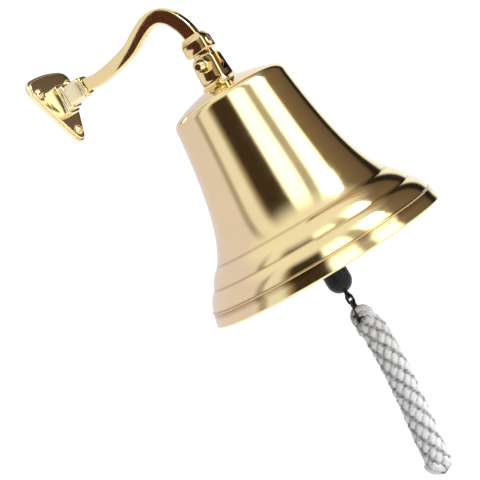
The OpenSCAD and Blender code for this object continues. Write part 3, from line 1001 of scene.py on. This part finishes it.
def plate_outline(inset):
    """The plate's outline: three corner arcs joined by sides that bow out and meet them smoothly."""
    steps = 14
    ends = []
    for k, (x, y, r) in enumerate(PLATE_CORNERS):
        (before, bow_before), (after, bow_after) = plate_chord((k + 2) % 3), plate_chord(k)
        last = after - bow_after + (360 if k == 2 else 0)
        ends.append(arc_line((x, y), r - inset, before + bow_before, last, steps))
    out = []
    for k in range(3):
        out += [ends[k], bulge_line(ends[k][-1], ends[(k + 1) % 3][0], SIDE_BOWS[k], steps)[1:-1]]
    return np.concatenate(out)


def slab_rings(outline_at, low, high, edge):
    """Rings of a slab whose upper edge is rounded; outline_at gives its outline at an inset."""
    rings = [flat_ring(outline_at(0), low)]
    for a in np.radians(np.linspace(0, 90, 5)):
        rings.append(flat_ring(outline_at(edge * (1 - math.cos(a))), high - edge + edge * math.sin(a)))
    return rings


def boss_outline(w, h):
    """What gives a boss step's or the collar's outline at an inset."""
    return lambda inset: round_rect(w - 2 * inset, h - 2 * inset, BOSS_CORNER_R - inset)


def make_plate():
    """The cast plate: a stepped shield with a three-step boss, hollow behind for the arm's nut."""
    slabs = [slab_rings(plate_outline, 0, STEP_X, 0.5),
             slab_rings(lambda inset: plate_outline(STEP_INSET + inset), 0.4, PLATE_T, 0.5),
             *[slab_rings(boss_outline(w, h), 0.8, high, 0.7) for high, w, h in BOSS_STEPS]]
    plate = make_piece("plate_casting", joined([loft(along_x(rings)) for rings in slabs]), plate_brass,
                       "bracket", ["wall_plate"], at=AT_PLATE)
    recess = loft(along_x([flat_ring(circle(RECESS_R, 64), x) for x in (-1, RECESS_DEPTH)]))
    cut(plate, recess, at=AT_PLATE)


def make_collar():
    """The square collar between the boss and the arm, with a shallow neck at its foot."""
    outline_at = boss_outline(COLLAR_W, COLLAR_H)
    rings = [flat_ring(outline_at(0.6), COLLAR_LOW_X + x) for x in (-0.2, 0.25)]
    rings += slab_rings(outline_at, COLLAR_LOW_X + 0.5, COLLAR_HIGH_X, 0.6)
    make_piece("square_collar", loft(along_x(rings)), turned_brass, "bracket",
               ["arm_collar"], at=AT_PLATE)


# A screw's shank, head and slot
SCREW_R = 1.95
SCREW_HEAD_R = 3.3
SCREW_HEAD_H = 2.4
SLOT_CUT_W = 0.9
SLOT_DEPTH = 1.2
# Each screw's place round the plate and its slot's turn, in degrees
SCREW_SLOTS = {"left": (150, 20), "right": (30, -35), "low": (-90, 70)}


def make_screw(which):
    """A round-headed slotted wood screw, ended at the plate's back, since the wall hides the rest."""
    angle, slot_turn = np.radians(SCREW_SLOTS[which])
    place = np.array([0, SCREW_CIRCLE_R * math.cos(angle), SCREW_CIRCLE_R * math.sin(angle)])
    foot = PLATE_T + 0.1
    profile = [(SCREW_R - 0.2, 0.05), (SCREW_R, 0.25), (SCREW_R, foot), (SCREW_HEAD_R - 0.15, foot - 0.08),
               *[(r, foot + h) for r, h in dome_profile(SCREW_HEAD_R, SCREW_HEAD_H - 0.1)]]
    head = loft(along_x([flat_ring(circle(r, 48), x) for r, x in profile]))
    piece = make_piece("screw_" + which, head, turned_brass, "bracket",
                       ["wall_screw_" + which], at=place)
    c, s = math.cos(slot_turn), math.sin(slot_turn)
    slot = [(x * 1.2 * SCREW_HEAD_R, y * SLOT_CUT_W / 2) for x, y in SQUARE] @ np.array([[c, s], [-s, c]])
    top = PLATE_T + SCREW_HEAD_H
    cutter = loft(along_x([flat_ring(slot, x) for x in (top - SLOT_DEPTH, top + SLOT_DEPTH)]))
    cut(piece, cutter, at=place)


# ---- clapper

# The CAD's weight and rod, and the wire of the eye and the ring below
BOB_R = 7.75
BOB_LOW = -20.5
BOB_TOP = 26
BOB_TOP_EDGE_R = 2
ROD_R = 2.5
WIRE_R = 0.8
EYE_R = 1.8
RING_STRAIGHT = 2.4
RING_LOW_Z = -26.8


def make_clapper():
    """The clapper's round-ended weight and its lock nut; its rod is the CAD's own."""
    profile = [(max(BOB_R * math.sin(a), 0.4), BOB_LOW + BOB_R * (1 - math.cos(a)))
               for a in np.linspace(0.05, math.pi / 2, 16)]
    profile += [(BOB_R, z) for z in np.linspace(BOB_LOW + BOB_R + 1, BOB_TOP - BOB_TOP_EDGE_R - 0.2, 10)]
    profile += [*arc_line((BOB_R - BOB_TOP_EDGE_R, BOB_TOP - BOB_TOP_EDGE_R), BOB_TOP_EDGE_R, 0, 90, 6),
                (ROD_R - 0.2, BOB_TOP)]
    make_piece("clapper_weight", turned(profile, 96), iron, "clapper", ["clapper_bob"])
    points, faces = hex_body(NUT_W, NUT_T, ROD_R)
    make_piece("lock_nut_cut", (points + np.array([0, 0, BOB_TOP]), faces), iron, "clapper",
               ["clapper_lock_nut"], crease=HEX_CREASE)


def wire_ring(straight, low, across):
    """A closed wire link standing upright; across is the direction, X or Y, that it faces."""
    across = np.array(across, float)
    flat = link_line(EYE_R, straight, low, 36)
    line = np.outer(flat[:, 0], across[[1, 0, 2]]) + np.outer(flat[:, 1], (0, 0, 1))
    a = full_turn(20)[:, None]
    rings = []
    for p, before, after in zip(line, np.roll(line, 1, axis=0), np.roll(line, -1, axis=0)):
        out = np.cross((after - before) / np.linalg.norm(after - before), across)
        rings.append(p + WIRE_R * (np.cos(a) * out + np.sin(a) * across))
    return loft(rings, loop=True)


def make_small_eyes():
    """The eye under the clapper and the wire ring that hangs from it."""
    low = BOB_LOW + 0.5 - WIRE_R - EYE_R
    shank = turned([(1.2, BOB_LOW + 2), (1.2, low + 1.9), (0.9, low + 1.4)], 32)
    make_piece("weight_eye", joined([wire_ring(0, low, (1, 0, 0)), shank]), iron, "clapper",
               ["bob_eye"])
    ring = wire_ring(RING_STRAIGHT, RING_LOW_Z, (0, 1, 0))
    make_piece("wire_ring", ring, iron, "lanyard_ring", ["lanyard_ring"])


make_bell()
make_crown()
make_head()
make_rivet()
make_pivot()
make_arm()
make_plate()
make_collar()
for corner_name in SCREW_SLOTS:
    make_screw(corner_name)
make_clapper()
make_small_eyes()


# ---- CAD nodes that stay

KEPT = {"arm_washer": turned_brass, "arm_nut": turned_brass, "clapper_staple": turned_brass,
        "staple_washer": turned_brass, "staple_nut": turned_brass,
        "clapper_link": iron, "clapper_rod": iron}
for node_name, material in KEPT.items():
    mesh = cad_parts[node_name].data
    mesh.materials.clear()
    mesh.materials.append(material)


# ---- studio

def make_stage_sheet(name, points, material):
    """A flat sheet of the studio, its points in metres."""
    mesh = bpy.data.meshes.new(name)
    mesh.from_pydata(points, [], [tuple(range(len(points)))])
    mesh.materials.append(material)
    sheet = new_object(name, mesh)
    return sheet


FLOOR_HALF = 12
FLOOR_Z = -1.5


def make_floor():
    """A wide pale floor well below the bell."""
    material, tree, shader = new_material("floor_paint")
    grain = noise(tree, stretched(tree), scale=3, detail=3)
    connect(tree, shader, {
        "Base Color": ramp(tree, grain, [(0.3, (0.90, 0.90, 0.90)), (0.7, (0.94, 0.94, 0.94))]),
        "Roughness": 0.9,
        "Emission Color": (1, 1, 1, 1),
        "Emission Strength": 0.08})
    make_stage_sheet("floor", [(x * FLOOR_HALF, y * FLOOR_HALF, FLOOR_Z) for x, y in SQUARE], material)


# A dark flag that stands upright just before the arm and the crown: its place along Y, and its outline as
# (x from the bell's axis, z above the mouth), which follows the arm
FLAG_Y = -40
FLAG_OUTLINE = [
    (-76, 163.5), (-65.5, 171.5), (-54.5, 178), (-44.5, 183.5), (-36, 187), (-27, 188), (-17, 184),
    (-10, 172), (-6, 152), (-8, 134), (-16, 129.5), (-26, 133), (-22.5, 145), (-18, 152), (-29, 158),
    (-28, 166), (-38, 173), (-47, 170), (-57, 166.5), (-68, 163)]


def make_flag():
    """A dark flag that only shows mirrored in the arm's and the crown's near faces."""
    material, tree, shader = new_material("flag_cloth")
    connect(tree, shader, {"Base Color": (0.07, 0.02, 0.012, 1), "Roughness": 1})
    points = np.array([(x, FLAG_Y, z) for x, z in FLAG_OUTLINE]) + AT_BELL
    flag = make_stage_sheet("flag", (points * MM).tolist(), material)
    flag.visible_camera = False
    flag.visible_diffuse = False
    flag.visible_shadow = False


# Bands of the studio round the bell, in degrees to the right of the camera, each with its colour
STUDIO_BANDS = [
    (-180, (0.80, 0.74, 0.86)), (-82, (0.86, 0.78, 0.92)), (-76, (0.46, 0.40, 0.36)),
    (-71, (0.46, 0.40, 0.36)), (-66, (0.93, 0.92, 0.97)), (-50, (0.95, 0.93, 0.92)),
    (-42, (0.34, 0.26, 0.17)), (-36, (0.05, 0.032, 0.018)), (-3, (0.05, 0.032, 0.018)),
    (4, (2.2, 2.2, 2.1)), (27, (2.2, 2.2, 2.1)), (33, (0.50, 0.46, 0.42)), (44, (0.50, 0.46, 0.42)),
    (50, (2.4, 2.4, 2.3)), (74, (2.4, 2.4, 2.3)), (80, (0.24, 0.17, 0.11)), (128, (0.14, 0.10, 0.07)),
    (134, (0.02, 0.015, 0.01)), (146, (0.02, 0.015, 0.01)), (152, (1.1, 1.1, 1.05)),
    (180, (0.95, 0.92, 0.95))]
# The bands overhead, which the lip mirrors: pale, but mottled brown behind the bell's right side
CEILING = (1.0, 0.97, 0.92)
OVERHEAD_BANDS = [
    (-180, CEILING), (104, CEILING), (110, (0.50, 0.36, 0.24)), (116, (0.86, 0.74, 0.58)),
    (122, (0.36, 0.23, 0.14)), (130, (0.74, 0.58, 0.42)), (138, (0.26, 0.14, 0.08)),
    (152, (0.18, 0.10, 0.06)), (160, CEILING), (180, CEILING)]
# The sines of the heights between which the low bands give way to the overhead ones
BANDS_TOP = 0.64
OVERHEAD_FOOT = 0.90
# The way to the side that the soft light comes from, and its strength there
SOFT_LIGHT = (TO_RIGHT * 0.8 + TO_CAMERA * 0.2 + Vector((0, 0, 0.55))).normalized()
SOFT_STRENGTH = 1.9
BACKDROP = (1.05, 1.05, 1.05, 1)


def make_world():
    """The studio: bands that the brass mirrors, soft light for matt surfaces, and a white backdrop."""
    world = bpy.data.worlds.new("studio")
    bpy.context.scene.world = world
    world.use_nodes = True
    tree = world.node_tree
    way = add(tree, "ShaderNodeTexCoord").outputs["Generated"]

    def share(direction):
        product = add(tree, "ShaderNodeVectorMath", {0: way, 1: direction}, operation="DOT_PRODUCT")
        return product.outputs["Value"]

    turn = add(tree, "ShaderNodeMath", {0: share(TO_RIGHT), 1: share(TO_CAMERA)}, operation="ARCTAN2")
    place = map_range(tree, turn.outputs[0], -math.pi, math.pi, 0, 1)
    low, above = (ramp(tree, place, [(angle / 360 + 0.5, colour) for angle, colour in bands])
                  for bands in (STUDIO_BANDS, OVERHEAD_BANDS))
    height = map_range(tree, share(Vector((0, 0, 1))), BANDS_TOP, OVERHEAD_FOOT, 0, 1,
                       interpolation_type="SMOOTHSTEP")
    mirrored = mix(tree, height, low, above)
    soft = map_range(tree, share(SOFT_LIGHT), -0.35, 0.9, 0, SOFT_STRENGTH)
    rays = add(tree, "ShaderNodeLightPath").outputs
    seen = mix(tree, rays["Is Diffuse Ray"], mirrored, soft)
    seen = mix(tree, rays["Is Camera Ray"], seen, BACKDROP)
    tree.links.new(seen, tree.nodes["Background"].inputs["Color"])


# The key light: the way to it from a point in the bell, its distance and side in metres, and its watts
KEY_WAY = TO_RIGHT * 0.8 + TO_CAMERA * 0.35 + Vector((0, 0, 0.75))
KEY_DISTANCE = 1.6
KEY_SIDE = 0.5
KEY_POWER = 9


def make_key_light():
    """One soft square light that faces the bell."""
    data = bpy.data.lights.new("key", "AREA")
    data.size = KEY_SIDE
    data.energy = KEY_POWER
    light = new_object("key", data)
    light.location = (Vector(AT_BELL) + Vector((0, 0, 40))) * MM + KEY_WAY.normalized() * KEY_DISTANCE
    light.rotation_mode = "QUATERNION"
    light.rotation_quaternion = KEY_WAY.to_track_quat("Z", "Y")


make_floor()
make_flag()
make_world()
make_key_light()
bpy.context.scene.view_settings.view_transform = "Standard"
